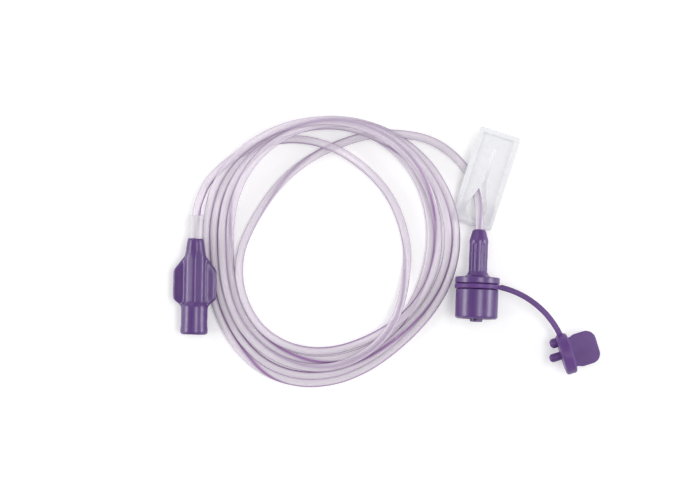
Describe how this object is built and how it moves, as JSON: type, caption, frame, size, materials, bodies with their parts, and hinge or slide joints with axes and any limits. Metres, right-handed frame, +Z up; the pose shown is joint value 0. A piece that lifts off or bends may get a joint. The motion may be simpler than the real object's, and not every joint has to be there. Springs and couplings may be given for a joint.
{
  "type": "enteral extension set",
  "caption": "Coiled fine clear feeding tube with a winged socket connector, a collared plug connector, a tethered cap and a slide clamp.",
  "frame": {"origin": "bottom centre of the box round the connectors, clamp and cap, on the surface the set lies on", "axes": "+X to the right along the set's width, +Y away from the connector mouths, +Z up from the surface"},
  "size_m": [0.1305, 0.0828, 0.0139],
  "materials": {
    "purple_plastic": "satin moulded plastic",
    "purple_soft": "soft satin moulded plastic",
    "white_plastic": "translucent moulded plastic",
    "frosted_sleeve": "clear soft plastic",
    "clear_tube": "clear soft plastic with a faint purple tint"
  },
  "bodies": {
    "set": {"winged_connector": "purple_plastic", "tube_sleeve": "frosted_sleeve", "collared_connector": "purple_plastic", "tube_coil": "clear_tube", "tube_lead": "clear_tube", "tube_tail": "clear_tube"},
    "tether": {"cap_tether": "purple_soft"},
    "clamp": {"slide_clamp": "white_plastic"}
  },
  "joints": [
    {"name": "tether_swivel", "type": "hinge", "parent": "set", "child": "tether", "pos_m": [0.02788, -0.01107, 0.00694], "axis": [-0.0383, -0.9979, 0.0523], "range_deg": [0, 150]},
    {"name": "clamp_slide", "type": "slide", "parent": "set", "child": "clamp", "axis": [-0.304, -0.9527, 0], "range_m": [0, 0.007], "deforming": ["tube_tail"]}
  ]
}
